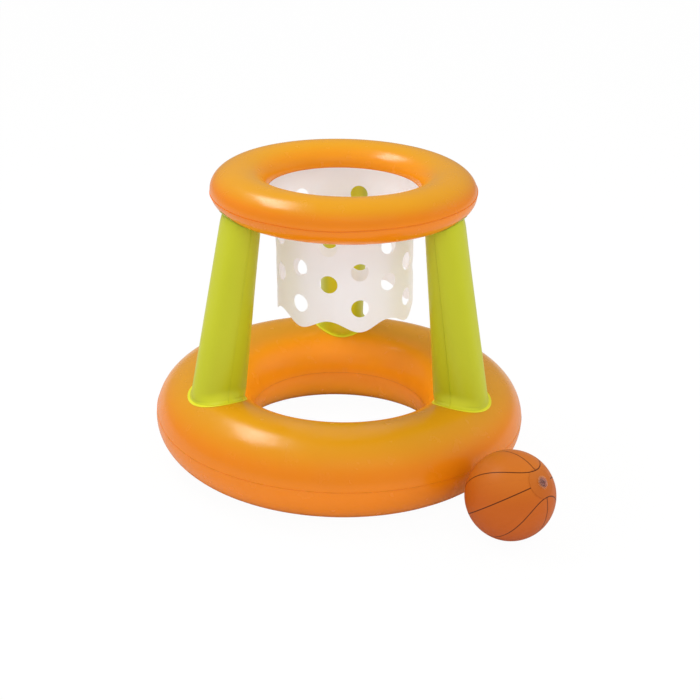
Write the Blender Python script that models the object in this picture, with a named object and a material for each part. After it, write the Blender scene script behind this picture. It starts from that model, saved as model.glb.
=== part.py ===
"""Inflatable floating basketball hoop with its ball, built from its welded vinyl pieces. Metres, +Z up."""

import math

import bmesh
import bpy
from mathutils import Matrix, Vector

# Vinyl film and its welds
SKIN = 0.0003  # thickness of every panel
GAP = 0.0003  # clear space between two pieces that are welded or seated on each other
SEAM_LIP = 0.0012  # width of the flat weld that stands out from a ring or a leg
OVERRUN = 0.01  # how far a cutter runs past what it cuts

# Base ring
BASE_OUTER_RADIUS = 0.335  # over its seam lip
BASE_HALF_WIDTH = 0.0879
BASE_HALF_HEIGHT = 0.0773
BASE_FLAT_DEPTH = 0.0015  # how much of the tube is pressed flat where it rests
BASE_SEGMENTS = 42
BASE_STEPS = 5  # for each quarter of the tube
BASE_VALVE_AZIMUTH = 60.0  # degrees, from +X
BASE_VALVE_RISE = 25.0  # degrees round the tube, from its outer seam

# Top ring
HOOP_HEIGHT = 0.5309
TOP_OUTER_RADIUS = 0.2319  # over its seam lip
TOP_HALF_WIDTH = 0.0495
TOP_HALF_HEIGHT = 0.0374
TOP_SEGMENTS = 36
TOP_STEPS = 4
TOP_VALVE_AZIMUTH = 120.0
TOP_VALVE_RISE = 25.0

# Legs: an oval tube of two panels between two patches
LEG_AZIMUTHS = {"left": 207.6, "right": 333.2, "back": 90.0}  # degrees, from +X
LEG_WELD_SHIFT = 0.0055  # inwards, from the middle of the base ring's tube to the middle of the foot's weld
LEG_WELD_HALF_DEPTH = 0.0469  # along the radius
LEG_WELD_HALF_WIDTH = 0.0530  # across it
LEG_FLARE_HEIGHT = 0.014  # over which the tube narrows from its weld
LEG_FOOT_SHIFT = 0.0101  # inwards, to the middle of the tube above the flare
LEG_FOOT_HALF_DEPTH = 0.0486
LEG_FOOT_HALF_WIDTH = 0.0401
LEG_HEAD_SHIFT = 0.0123  # outwards, from the middle of the top ring's tube to the middle of the head
LEG_HEAD_HALF_DEPTH = 0.0315
LEG_HEAD_HALF_WIDTH = 0.0473
LEG_REACH = 0.03  # how far the tube is drawn into each ring before it is cut back to it
LEG_STEPS = 4  # for each quarter of the oval
PATCH_RIM = 0.003  # how far the weld at a foot shows round the tube; at a head nothing shows
PATCH_SEGMENTS = 20
PORT_RADIUS = 0.006  # air passage between the base ring and a leg
PORT_SEGMENTS = 12

# Net
NET_TAPER = 0.0105  # how much narrower it is than the hole of the top ring
NET_DRAW_IN = 0.105  # the height over which it narrows from the ring
NET_DRAW_STEPS = 3
NET_HEM_DROP = 0.2102  # from the top ring's seam to the middle of the hem's wave
NET_HEM_WAVE = 0.009
NET_SWAY = 0.006  # how far the hem hangs to the side
NET_COLUMNS = 7
NET_SEGMENTS = 42
NET_COLUMN_AZIMUTH = -76.6  # degrees, from +X
NET_HOLE_RADIUS = 0.0155
NET_HOLE_SEGMENTS = 10
NET_HOLE_PITCH = 0.065
NET_LONG_DROP = 0.0462  # from the top ring's seam to the first of three holes in a column
NET_SHORT_DROP = 0.0692  # to the first of two, in the columns between
NET_LONG_HOLES = 3
NET_SHORT_HOLES = 2

# Ball
BALL_RADIUS = 0.0750
BALL_STANDOFF = 0.0177  # from the base ring, seen from above
BALL_BEARING = -48.3  # degrees, from +X
BALL_VALVE_AZIMUTH = -41.1
BALL_VALVE_RISE = 37.4  # degrees above level
BALL_GORES = 6
BALL_GORE_SPANS = 4
BALL_GORE_STEPS = 10
BALL_PATCH_RADIUS = 0.0255
BALL_PATCH_STEPS = 2
BALL_PATCH_SEGMENTS = 18

# Inflation valve
VALVE_BORE_RADIUS = 0.0050
VALVE_WALL = 0.0012
VALVE_NECK_DEPTH = 0.0040
VALVE_FLANGE_RADIUS = 0.0110
VALVE_FLANGE_THICKNESS = 0.0010
STEM_LENGTH = 0.0150
STEM_WALL = 0.0012
STEM_RIM_RADIUS = 0.0088
STEM_RIM_THICKNESS = 0.0008
STEM_KEEPER_RADIUS = 0.0064
STEM_KEEPER_THICKNESS = 0.0012
STOPPER_HEAD_RADIUS = 0.0052
STOPPER_HEAD_THICKNESS = 0.0014
STOPPER_PLUG_LENGTH = 0.0065
STOPPER_BEVEL = 0.0004
STRAP_WIDTH = 0.0022
STRAP_THICKNESS = 0.0006
STRAP_HEIGHT = 0.0032
STRAP_FOOT_RADIUS = 0.0080  # from the valve's axis to the outside of the strap's foot
STRAP_STEPS = 6
FLAP_RADIUS = 0.0045
FLAP_THICKNESS = 0.0006
VALVE_SEGMENTS = 12

# Colours, as red, green and blue shares of full linear light
ORANGE_SHARES = (0.86, 0.30, 0.014)
LIME_SHARES = (0.50, 0.56, 0.020)
FROSTED_SHARES = (0.80, 0.73, 0.73)
BALL_SHARES = (0.58, 0.13, 0.016)
CLEAR_SHARES = (0.74, 0.70, 0.76)
VINYL_ROUGHNESS = 0.28
BALL_ROUGHNESS = 0.42

# Shading
SHARP_ANGLE = math.radians(40)
MERGE = 1e-6

# Sizes that follow
BASE_TUBE_RADIUS = BASE_OUTER_RADIUS - SEAM_LIP - BASE_HALF_WIDTH
BASE_SEAM_HEIGHT = BASE_HALF_HEIGHT - BASE_FLAT_DEPTH
TOP_TUBE_RADIUS = TOP_OUTER_RADIUS - SEAM_LIP - TOP_HALF_WIDTH
TOP_SEAM_HEIGHT = HOOP_HEIGHT - TOP_HALF_HEIGHT
FOOT_HEIGHT = BASE_SEAM_HEIGHT + BASE_HALF_HEIGHT
HEAD_HEIGHT = TOP_SEAM_HEIGHT - TOP_HALF_HEIGHT
LEG_WELD_RADIUS = BASE_TUBE_RADIUS - LEG_WELD_SHIFT
LEG_FOOT_RADIUS = BASE_TUBE_RADIUS - LEG_FOOT_SHIFT
LEG_HEAD_RADIUS = TOP_TUBE_RADIUS + LEG_HEAD_SHIFT
NET_EDGE_RADIUS = TOP_TUBE_RADIUS - TOP_HALF_WIDTH - SEAM_LIP
NET_RADIUS = NET_EDGE_RADIUS - NET_TAPER
PATCH_LEVEL = GAP + SKIN  # outer face of a patch, above the ring it is welded to
PANEL_LEVEL = PATCH_LEVEL + GAP
NECK_RADIUS = VALVE_BORE_RADIUS + VALVE_WALL
VALVE_HOLE_RADIUS = NECK_RADIUS + GAP
FLANGE_TOP = GAP + VALVE_FLANGE_THICKNESS
STEM_RIM_TOP = FLANGE_TOP + GAP + STEM_RIM_THICKNESS
STEM_RADIUS = VALVE_BORE_RADIUS - GAP
STEM_BORE_RADIUS = STEM_RADIUS - STEM_WALL
STEM_FOOT = STEM_RIM_TOP - STEM_LENGTH
BALL_DISTANCE = BASE_OUTER_RADIUS + BALL_STANDOFF + BALL_RADIUS
BALL_OFFSET = Matrix.Rotation(math.radians(BALL_BEARING), 2) @ Vector((BALL_DISTANCE, 0.0))


def hoop_axis():
    """The hoop's axis on the ground, with the origin under the middle of the hoop and ball together."""
    low = [min(-BASE_OUTER_RADIUS, along - BALL_RADIUS) for along in BALL_OFFSET]
    high = [max(BASE_OUTER_RADIUS, along + BALL_RADIUS) for along in BALL_OFFSET]
    return Vector((-(low[0] + high[0]) / 2, -(low[1] + high[1]) / 2, 0.0))


def clear_scene():
    for obj in list(bpy.data.objects):
        bpy.data.objects.remove(obj, do_unlink=True)


def vinyl(name, shares, roughness=VINYL_ROUGHNESS, alpha=1.0):
    material = bpy.data.materials.new(name)
    material.use_nodes = True
    shader = material.node_tree.nodes["Principled BSDF"]
    shader.inputs["Base Color"].default_value = (*shares, 1.0)
    shader.inputs["Roughness"].default_value = roughness
    shader.inputs["Metallic"].default_value = 0.0
    shader.inputs["Alpha"].default_value = alpha
    return material


def empty(name, parent=None, location=(0.0, 0.0, 0.0), rotation=(0.0, 0.0, 0.0)):
    obj = bpy.data.objects.new(name, None)
    bpy.context.scene.collection.objects.link(obj)
    obj.parent = parent
    obj.location = location
    obj.rotation_euler = rotation
    return obj


def make_mesh(name, bm):
    """Finish a bmesh as a mesh with its faces out and its round faces smooth."""
    bmesh.ops.remove_doubles(bm, verts=bm.verts, dist=MERGE)
    bmesh.ops.recalc_face_normals(bm, faces=bm.faces)
    mesh = bpy.data.meshes.new(name)
    bm.to_mesh(mesh)
    bm.free()
    mesh.shade_smooth()
    mesh.set_sharp_from_angle(angle=SHARP_ANGLE)
    return mesh


def place(name, mesh, parent, material=None, location=(0.0, 0.0, 0.0), rotation=(0.0, 0.0, 0.0)):
    obj = bpy.data.objects.new(name, mesh)
    bpy.context.scene.collection.objects.link(obj)
    obj.parent = parent
    obj.location = location
    obj.rotation_euler = rotation
    if material is None:
        obj.hide_render = True
        obj.display_type = "WIRE"
    else:
        obj.data.materials.clear()
        obj.data.materials.append(material)
    return obj


def boolean(obj, cutter, operation="DIFFERENCE"):
    modifier = obj.modifiers.new(cutter.name, "BOOLEAN")
    modifier.operation = operation
    modifier.object = cutter
    modifier.solver = "EXACT"


def turned(name, outline, segments):
    """Turn a closed outline of (radius, height) points round Z."""
    bm = bmesh.new()
    verts = [bm.verts.new((radius, 0.0, height)) for radius, height in outline]
    edges = [bm.edges.new((verts[i - 1], verts[i])) for i in range(len(verts))]
    bmesh.ops.spin(bm, geom=verts + edges, cent=(0, 0, 0), axis=(0, 0, 1), angle=2 * math.pi,
                   steps=segments, use_merge=True)
    bmesh.ops.remove_doubles(bm, verts=bm.verts, dist=MERGE)
    bmesh.ops.dissolve_degenerate(bm, edges=bm.edges, dist=MERGE)
    axis = [edge for edge in bm.edges if not edge.link_faces]
    bmesh.ops.delete(bm, geom=axis, context="EDGES")
    return make_mesh(name, bm)


def lofted(name, sections):
    """Join closed sections of equal point counts along their short diagonals, and cap both ends."""
    bm = bmesh.new()
    rings = [[bm.verts.new(point) for point in section] for section in sections]
    count = len(rings[0])
    for near, far in zip(rings, rings[1:]):
        for i in range(count):
            j = (i + 1) % count
            if (near[i].co - far[j].co).length <= (near[j].co - far[i].co).length:
                bm.faces.new((near[i], near[j], far[j]))
                bm.faces.new((near[i], far[j], far[i]))
            else:
                bm.faces.new((near[i], near[j], far[i]))
                bm.faces.new((near[j], far[j], far[i]))
    bm.faces.new(rings[0][::-1])
    bm.faces.new(rings[-1])
    return make_mesh(name, bm)


def half_oval(half_width, half_height, low, steps, high=None):
    """Points over half an oval from the height low on one side to the other, flat above the height high."""
    start = math.asin(low / half_height)
    crown = math.pi / 2 if high is None else math.asin(high / half_height)
    quarter = [start + (crown - start) * i / steps for i in range(steps + 1)]
    angles = quarter + [math.pi - a for a in reversed(quarter if high else quarter[:-1])]
    return [(half_width * math.cos(a), half_height * math.sin(a)) for a in angles]


def half_tube(half_width, half_height, steps, high=None):
    """Section of one half of a welded tube, as (across, up): its skin and the flat lip at each side."""
    seat = GAP / 2
    lip = half_width + SEAM_LIP
    outside = half_oval(half_width, half_height, seat + SKIN, steps, high)
    inside = half_oval(half_width - SKIN, half_height - SKIN, seat, steps, high and high - SKIN)
    return [(lip, seat), (lip, seat + SKIN), *outside, (-lip, seat + SKIN), (-lip, seat), *reversed(inside)]


def ring_skin(name, tube_radius, seam_height, section, segments, side):
    """One skin of a ring: side is 1 for the upper one and -1 for the lower one."""
    outline = [(tube_radius + across, seam_height + side * up) for across, up in section]
    return turned(name, outline, segments)


def ring_body(name, tube_radius, seam_height, half_width, half_height, steps, segments, grow):
    """The solid space that an inflated ring fills, grown all over, to cut what is welded to it."""
    section = half_oval(half_width + grow, half_height + grow, 0.0, steps)
    loop = section + [(across, -up) for across, up in reversed(section[1:-1])]
    outline = [(tube_radius + across, seam_height + up) for across, up in loop]
    return turned(name, outline, segments)


def drilled(name, radius, depth, height, segments):
    """A round cutter along Z, from depth below its origin to height above it."""
    bm = bmesh.new()
    middle = Matrix.Translation((0.0, 0.0, (height - depth) / 2))
    bmesh.ops.create_cone(bm, cap_ends=True, segments=segments, radius1=radius, radius2=radius,
                          depth=height + depth, matrix=middle)
    return make_mesh(name, bm)


def valve_seat(name, hoop, tube_radius, seam_height, half_width, half_height, azimuth, rise):
    """An empty on a ring's skin, with +Z along the valve's axis and outwards."""
    turn = math.radians(azimuth)
    angle = math.radians(rise)
    reach = tube_radius + half_width * math.cos(angle)
    height = seam_height + half_height * math.sin(angle)
    tilt = math.atan2(math.sin(angle) / half_height, math.cos(angle) / half_width)
    spot = (reach * math.cos(turn), reach * math.sin(turn), height)
    return empty(name, hoop, spot, (0.0, math.pi / 2 - tilt, turn))


def add_rings(hoop, orange, seats):
    base_section = half_tube(BASE_HALF_WIDTH, BASE_HALF_HEIGHT, BASE_STEPS)
    rest_section = half_tube(BASE_HALF_WIDTH, BASE_HALF_HEIGHT, BASE_STEPS, BASE_SEAM_HEIGHT)
    top_section = half_tube(TOP_HALF_WIDTH, TOP_HALF_HEIGHT, TOP_STEPS)
    base = (BASE_TUBE_RADIUS, BASE_SEAM_HEIGHT)
    top = (TOP_TUBE_RADIUS, TOP_SEAM_HEIGHT)
    skins = {}
    for name, ring, section, segments, side in (
        ("base_ring_upper_skin", base, base_section, BASE_SEGMENTS, 1),
        ("base_ring_lower_skin", base, rest_section, BASE_SEGMENTS, -1),
        ("top_ring_upper_skin", top, top_section, TOP_SEGMENTS, 1),
        ("top_ring_lower_skin", top, top_section, TOP_SEGMENTS, -1),
    ):
        skins[name] = place(name, ring_skin(name, *ring, section, segments, side), hoop, orange)
    hole = drilled("valve_hole", VALVE_HOLE_RADIUS, VALVE_NECK_DEPTH + OVERRUN, OVERRUN, VALVE_SEGMENTS)
    for ring_name in ("base", "top"):
        cutter = place(f"{ring_name}_valve_hole", hole, seats[ring_name])
        boolean(skins[f"{ring_name}_ring_upper_skin"], cutter)
    return skins


def leg_section(middle, half_depth, half_width, height, side):
    """A closed level section of one panel in the leg's own frame: side is 1 outwards and -1 inwards."""
    half = half_tube(half_width, half_depth, LEG_STEPS)
    return [(middle + side * out, across, height) for across, out in half]


def leg_panel(name, side):
    """One panel of a leg, drawn into both rings: upright at its weld, then flared in, then straight."""
    weld = (LEG_WELD_RADIUS, LEG_WELD_HALF_DEPTH, LEG_WELD_HALF_WIDTH)
    foot = Vector((LEG_FOOT_RADIUS, LEG_FOOT_HALF_DEPTH, LEG_FOOT_HALF_WIDTH, FOOT_HEIGHT + LEG_FLARE_HEIGHT))
    head = Vector((LEG_HEAD_RADIUS, LEG_HEAD_HALF_DEPTH, LEG_HEAD_HALF_WIDTH, HEAD_HEIGHT))
    beyond = head + (head - foot) * LEG_REACH / (head[3] - foot[3])
    middle = foot.lerp(head, 0.5)
    levels = [(*weld, FOOT_HEIGHT - LEG_REACH), (*weld, FOOT_HEIGHT), foot, middle, head, beyond]
    return lofted(name, [leg_section(*level, side) for level in levels])


def patch_blank(name, radius, half_depth, half_width, rim, low, high):
    """An upright oval column that a leg's patch is cut from."""
    turns = [2 * math.pi * i / PATCH_SEGMENTS for i in range(PATCH_SEGMENTS)]
    loop = [(radius + (half_depth + rim) * math.cos(t), (half_width + rim) * math.sin(t)) for t in turns]
    return lofted(name, [[(x, y, height) for x, y in loop] for height in (low, high)])


def add_legs(hoop, lime, skins):
    base = (BASE_TUBE_RADIUS, BASE_SEAM_HEIGHT, BASE_HALF_WIDTH, BASE_HALF_HEIGHT, BASE_STEPS, BASE_SEGMENTS)
    top = (TOP_TUBE_RADIUS, TOP_SEAM_HEIGHT, TOP_HALF_WIDTH, TOP_HALF_HEIGHT, TOP_STEPS, TOP_SEGMENTS)
    cutters = {}
    for ring_name, ring in (("base", base), ("top", top)):
        for level_name, grow in (("seat", GAP), ("patch", PATCH_LEVEL), ("panel", PANEL_LEVEL)):
            name = f"{ring_name}_{level_name}_cutter"
            cutters[ring_name, level_name] = place(name, ring_body(name, *ring, grow), hoop)
    foot_blank = patch_blank("foot_blank", LEG_WELD_RADIUS, LEG_WELD_HALF_DEPTH, LEG_WELD_HALF_WIDTH,
                             SEAM_LIP + PATCH_RIM, FOOT_HEIGHT - LEG_REACH, FOOT_HEIGHT + OVERRUN)
    head_blank = patch_blank("head_blank", LEG_HEAD_RADIUS, LEG_HEAD_HALF_DEPTH, LEG_HEAD_HALF_WIDTH,
                             SEAM_LIP, HEAD_HEIGHT - OVERRUN, HEAD_HEIGHT + LEG_REACH)
    panels = {"outer": leg_panel("outer_panel", 1), "inner": leg_panel("inner_panel", -1)}
    port = drilled("port", PORT_RADIUS, OVERRUN, OVERRUN, PORT_SEGMENTS)
    for leg_name, azimuth in LEG_AZIMUTHS.items():
        leg = empty(f"{leg_name}_leg", hoop, rotation=(0.0, 0.0, math.radians(azimuth)))
        hole = place(f"{leg_name}_leg_port", port, leg, location=(LEG_WELD_RADIUS, 0.0, FOOT_HEIGHT))
        for panel_name, mesh in panels.items():
            panel = place(f"{leg_name}_leg_{panel_name}_panel", mesh, leg, lime)
            boolean(panel, cutters["base", "panel"])
            boolean(panel, cutters["top", "panel"])
        for ring_name, end_name, blank in (("base", "foot", foot_blank), ("top", "head", head_blank)):
            patch = place(f"{leg_name}_leg_{end_name}_patch", blank, leg, lime)
            boolean(patch, cutters[ring_name, "patch"], "INTERSECT")
            boolean(patch, cutters[ring_name, "seat"])
            if end_name == "foot":
                boolean(patch, hole)
        boolean(skins["base_ring_upper_skin"], hole)


def net_blank():
    """The net without its holes: a turned sheet whose top edge turns out under the ring's inner seam."""
    facet = math.cos(math.pi / TOP_SEGMENTS)
    edge_radius = NET_EDGE_RADIUS * facet
    weld_radius = (NET_EDGE_RADIUS + SEAM_LIP) * facet - GAP
    top = -(GAP / 2 + SKIN + GAP)
    wall = []
    for i in range(NET_DRAW_STEPS + 1):
        share = i / NET_DRAW_STEPS
        radius = NET_RADIUS + (edge_radius - NET_RADIUS) * (1 - share) ** 2
        wall.append((radius, top - SKIN - NET_DRAW_IN * share))
    wall.append((NET_RADIUS, -NET_HEM_DROP))
    inside = [(radius - SKIN, height) for radius, height in wall]
    inside[0] = (edge_radius - SKIN, top)
    outline = [(weld_radius, top), *inside, *reversed(wall), (weld_radius, top - SKIN)]
    mesh = turned("net_sheet", outline, NET_SEGMENTS)
    for vertex in mesh.vertices:
        if vertex.co.z < -NET_HEM_DROP + MERGE:
            turn = math.atan2(vertex.co.y, vertex.co.x)
            vertex.co.z -= NET_HEM_WAVE * math.cos(NET_COLUMNS * (turn - math.radians(NET_COLUMN_AZIMUTH)))
    return mesh


def net_holes():
    """Every hole of the net as one cutter: long columns over the hem's lobes, short ones between them."""
    bm = bmesh.new()
    length = 2 * (NET_RADIUS - NET_HOLE_RADIUS) * math.sin(math.pi / NET_COLUMNS)
    level = Matrix.Rotation(math.pi / 2, 4, "Y")
    long_column, short_column = (NET_LONG_HOLES, NET_LONG_DROP), (NET_SHORT_HOLES, NET_SHORT_DROP)
    for column in range(2 * NET_COLUMNS):
        holes, drop = long_column if column % 2 == 0 else short_column
        turn = Matrix.Rotation(math.radians(NET_COLUMN_AZIMUTH) + math.pi * column / NET_COLUMNS, 4, "Z")
        for row in range(holes):
            spot = Matrix.Translation((NET_RADIUS, 0.0, -drop - NET_HOLE_PITCH * row))
            bmesh.ops.create_cone(bm, cap_ends=True, segments=NET_HOLE_SEGMENTS, radius1=NET_HOLE_RADIUS,
                                  radius2=NET_HOLE_RADIUS, depth=length, matrix=turn @ spot @ level)
    return make_mesh("net_holes", bm)


def add_net(hoop, frosted):
    """The net hangs from the seam and leans a little to +X."""
    seam = empty("net_seam", hoop, (0.0, 0.0, TOP_SEAM_HEIGHT))
    lean = Matrix.Identity(4)
    lean[0][2] = -NET_SWAY / NET_HEM_DROP
    sheet, holes = net_blank(), net_holes()
    sheet.transform(lean)
    holes.transform(lean)
    boolean(place("net_sheet", sheet, seam, frosted), place("net_hole_cutter", holes, seam))


def arc_shell(radius, first, last, steps):
    """Section of a curved shell, as (radius, height), between two angles from the ball's pole."""
    angles = [first + (last - first) * i / steps for i in range(steps + 1)]
    outside = [(radius * math.sin(a), radius * math.cos(a)) for a in angles]
    inner_radius = radius - SKIN
    inside = [(inner_radius * math.sin(a), inner_radius * math.cos(a)) for a in reversed(angles)]
    return outside + inside


def add_ball(orange_brown):
    spot = hoop_axis() + Vector((*BALL_OFFSET, BALL_RADIUS))
    turn = (0.0, math.radians(90.0 - BALL_VALVE_RISE), math.radians(BALL_VALVE_AZIMUTH))
    ball = empty("ball_centre", None, spot, turn)
    width = 2 * math.pi / BALL_GORES
    shift = GAP / (2 * math.sin(width / 2))
    radius = BALL_RADIUS - shift
    tip = math.asin(VALVE_HOLE_RADIUS / radius)
    shell = arc_shell(radius, tip, math.pi - tip, BALL_GORE_STEPS)
    turns = [width * (i / BALL_GORE_SPANS - 0.5) for i in range(BALL_GORE_SPANS + 1)]
    sections = [[(r * math.cos(t), r * math.sin(t), z) for r, z in shell] for t in turns]
    gore = lofted("ball_gore", sections)
    for number in range(BALL_GORES):
        bisector = width * (number + 0.5)
        out = (shift * math.cos(bisector), shift * math.sin(bisector), 0.0)
        place(f"ball_gore_{number + 1}", gore, ball, orange_brown, out, (0.0, 0.0, bisector))
    patch_radius = BALL_RADIUS + PATCH_LEVEL
    edge = math.asin(BALL_PATCH_RADIUS / patch_radius)
    hole = math.asin(VALVE_HOLE_RADIUS / patch_radius)
    front_shell = arc_shell(patch_radius, hole, edge, BALL_PATCH_STEPS)
    back_shell = arc_shell(patch_radius, 0.0, edge, BALL_PATCH_STEPS)
    front = turned("ball_valve_patch", front_shell, BALL_PATCH_SEGMENTS)
    back = turned("ball_end_patch", back_shell, BALL_PATCH_SEGMENTS)
    place("ball_valve_patch", front, ball, orange_brown)
    place("ball_end_patch", back, ball, orange_brown, rotation=(math.pi, 0.0, 0.0))
    return empty("ball_valve", ball, (0.0, 0.0, patch_radius))


def strap_outline():
    """The strap's side view, as (out, up): an arch from the stopper's head to the rim of the stem."""
    start = STOPPER_HEAD_RADIUS + GAP
    middle = (start + STRAP_FOOT_RADIUS) / 2
    reach = (STRAP_FOOT_RADIUS - start) / 2
    base = STEM_RIM_TOP + GAP
    turns = [math.pi * i / STRAP_STEPS for i in range(STRAP_STEPS + 1)]
    outer = [(middle + reach * math.cos(t), base + STRAP_HEIGHT * math.sin(t)) for t in turns]
    reach -= STRAP_THICKNESS
    rise = STRAP_HEIGHT - STRAP_THICKNESS
    inner = [(middle + reach * math.cos(t), base + rise * math.sin(t)) for t in reversed(turns)]
    return outer + inner


def valve_meshes():
    """The five pieces of an inflation valve, each in the valve's frame, +Z out of the chamber."""
    collar = [(VALVE_BORE_RADIUS, -VALVE_NECK_DEPTH), (NECK_RADIUS, -VALVE_NECK_DEPTH), (NECK_RADIUS, GAP),
              (VALVE_FLANGE_RADIUS, GAP), (VALVE_FLANGE_RADIUS - STOPPER_BEVEL, FLANGE_TOP),
              (VALVE_BORE_RADIUS, FLANGE_TOP)]
    keeper_top = STEM_FOOT + STEM_KEEPER_THICKNESS
    stem = [(STEM_BORE_RADIUS, STEM_FOOT), (STEM_KEEPER_RADIUS, STEM_FOOT), (STEM_KEEPER_RADIUS, keeper_top),
            (STEM_RADIUS, keeper_top), (STEM_RADIUS, FLANGE_TOP + GAP), (STEM_RIM_RADIUS, FLANGE_TOP + GAP),
            (STEM_RIM_RADIUS - STOPPER_BEVEL, STEM_RIM_TOP), (STEM_BORE_RADIUS, STEM_RIM_TOP)]
    seat = STEM_RIM_TOP + GAP
    crown = seat + STOPPER_HEAD_THICKNESS
    plug_radius = STEM_BORE_RADIUS - GAP
    plug_foot = seat - STOPPER_PLUG_LENGTH
    stopper = [(0.0, plug_foot), (plug_radius - STOPPER_BEVEL, plug_foot),
               (plug_radius, plug_foot + STOPPER_BEVEL), (plug_radius, seat), (STOPPER_HEAD_RADIUS, seat),
               (STOPPER_HEAD_RADIUS, crown - STOPPER_BEVEL), (STOPPER_HEAD_RADIUS - STOPPER_BEVEL, crown),
               (0.0, crown)]
    strap = [[(x, y, z) for x, z in strap_outline()] for y in (-STRAP_WIDTH / 2, STRAP_WIDTH / 2)]
    flap = [(0.0, -FLAP_THICKNESS), (FLAP_RADIUS, -FLAP_THICKNESS), (FLAP_RADIUS, 0.0), (0.0, 0.0)]
    return {
        "collar": turned("collar", collar, VALVE_SEGMENTS),
        "stem": turned("stem", stem, VALVE_SEGMENTS),
        "stopper": turned("stopper", stopper, VALVE_SEGMENTS),
        "strap": lofted("strap", strap),
        "flap": turned("flap", flap, VALVE_SEGMENTS),
    }


def add_valves(seats, clear):
    """A valve in each seat; a flap hangs from a hinge line at the edge of the stem's foot."""
    meshes = valve_meshes()
    flap_shape = meshes.pop("flap")
    flap_shape.transform(Matrix.Translation((FLAP_RADIUS, 0.0, 0.0)))
    for seat_name, seat in seats.items():
        for piece_name, mesh in meshes.items():
            place(f"{seat_name}_valve_{piece_name}", mesh, seat, clear)
        hinge = (-FLAP_RADIUS, 0.0, STEM_FOOT - GAP)
        place(f"{seat_name}_valve_flap", flap_shape, seat, clear, hinge)


def build():
    clear_scene()
    orange = vinyl("orange_vinyl", ORANGE_SHARES)
    lime = vinyl("lime_vinyl", LIME_SHARES)
    frosted = vinyl("frosted_vinyl", FROSTED_SHARES, alpha=0.85)
    orange_brown = vinyl("ball_vinyl", BALL_SHARES, BALL_ROUGHNESS)
    clear = vinyl("clear_valve_vinyl", CLEAR_SHARES, alpha=0.7)
    hoop = empty("hoop_axis", location=hoop_axis())
    seats = {
        "base": valve_seat("base_valve", hoop, BASE_TUBE_RADIUS, BASE_SEAM_HEIGHT, BASE_HALF_WIDTH,
                           BASE_HALF_HEIGHT, BASE_VALVE_AZIMUTH, BASE_VALVE_RISE),
        "top": valve_seat("top_valve", hoop, TOP_TUBE_RADIUS, TOP_SEAM_HEIGHT, TOP_HALF_WIDTH,
                          TOP_HALF_HEIGHT, TOP_VALVE_AZIMUTH, TOP_VALVE_RISE),
    }
    skins = add_rings(hoop, orange, seats)
    add_legs(hoop, lime, skins)
    add_net(hoop, frosted)
    seats["ball"] = add_ball(orange_brown)
    add_valves(seats, clear)


build()
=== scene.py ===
"""Looks of the inflatable floating basketball hoop and its ball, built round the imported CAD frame."""

import math

import bmesh
import bpy
import numpy as np
from mathutils import Matrix, Vector
from mathutils.geometry import delaunay_2d_cdt


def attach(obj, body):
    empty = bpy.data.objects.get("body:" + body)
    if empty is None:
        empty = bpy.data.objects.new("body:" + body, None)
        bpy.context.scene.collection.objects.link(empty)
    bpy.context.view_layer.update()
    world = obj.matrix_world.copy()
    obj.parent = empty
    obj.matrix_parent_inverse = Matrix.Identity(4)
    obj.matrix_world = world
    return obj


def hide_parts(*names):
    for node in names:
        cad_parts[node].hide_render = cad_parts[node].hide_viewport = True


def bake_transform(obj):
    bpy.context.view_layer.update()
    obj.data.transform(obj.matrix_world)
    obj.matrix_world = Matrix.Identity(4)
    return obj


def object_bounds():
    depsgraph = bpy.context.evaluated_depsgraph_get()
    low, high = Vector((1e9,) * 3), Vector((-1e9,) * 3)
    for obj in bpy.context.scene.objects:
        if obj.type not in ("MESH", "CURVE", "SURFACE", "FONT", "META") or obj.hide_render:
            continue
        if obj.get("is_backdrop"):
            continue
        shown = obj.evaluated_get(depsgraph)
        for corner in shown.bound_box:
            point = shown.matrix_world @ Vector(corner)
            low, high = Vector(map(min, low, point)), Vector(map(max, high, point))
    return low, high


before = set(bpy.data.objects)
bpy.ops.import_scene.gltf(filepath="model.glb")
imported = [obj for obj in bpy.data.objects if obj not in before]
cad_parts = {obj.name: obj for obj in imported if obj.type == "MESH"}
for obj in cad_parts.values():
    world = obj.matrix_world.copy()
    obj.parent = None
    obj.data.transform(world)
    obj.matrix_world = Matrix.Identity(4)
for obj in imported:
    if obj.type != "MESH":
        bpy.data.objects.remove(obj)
CAD_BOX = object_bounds()

# Vinyl film and its welds
SKIN = 0.0003
GAP = 0.0003
SEAM_GAP = 0.00004  # half the space left between two welded lips
SEAM_LIP = 0.0012
SHOWN_LIP = {"base": 0.0003, "top": 0.0009, "leg": 0.0004}  # what can be seen of it
HIDDEN_LIP = 0.0002  # of a ring's inner weld
LIP_MARK = 0.2  # share of a lip's width, in and up, past which a face is part of the weld
PATCH_LEVEL = GAP + SKIN
PANEL_LEVEL = PATCH_LEVEL + GAP
LEVEL_MARGIN = 0.0009  # how far the fine base ring stays inside the box of the faceted one
SHARP_ANGLE = math.radians(42)
MERGE = 1e-7

# Rings: radius and height of the tube's middle, half its width and height
AXIS = Vector((-0.01226, 0.02967, 0.0))
BASE_RADIUS = 0.2459
TOP_RADIUS = 0.1812
BASE_RING = (BASE_RADIUS - LEVEL_MARGIN, 0.0758, 0.0879, 0.0773)
TOP_RING = (TOP_RADIUS, 0.4935, 0.0495, 0.0374)
BASE_SEGMENTS = 288
TOP_SEGMENTS = 240
RING_STEPS = 40
RING_CROWDING = 0.08  # how much closer the steps lie beside the welds
SEAM_FADE = 0.011
SEAM_PUCKER = 0.00035
SEAM_WAVES = ((47, 0.45, 0.3), (71, 0.35, 1.9), (118, 0.2, 0.7))

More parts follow.
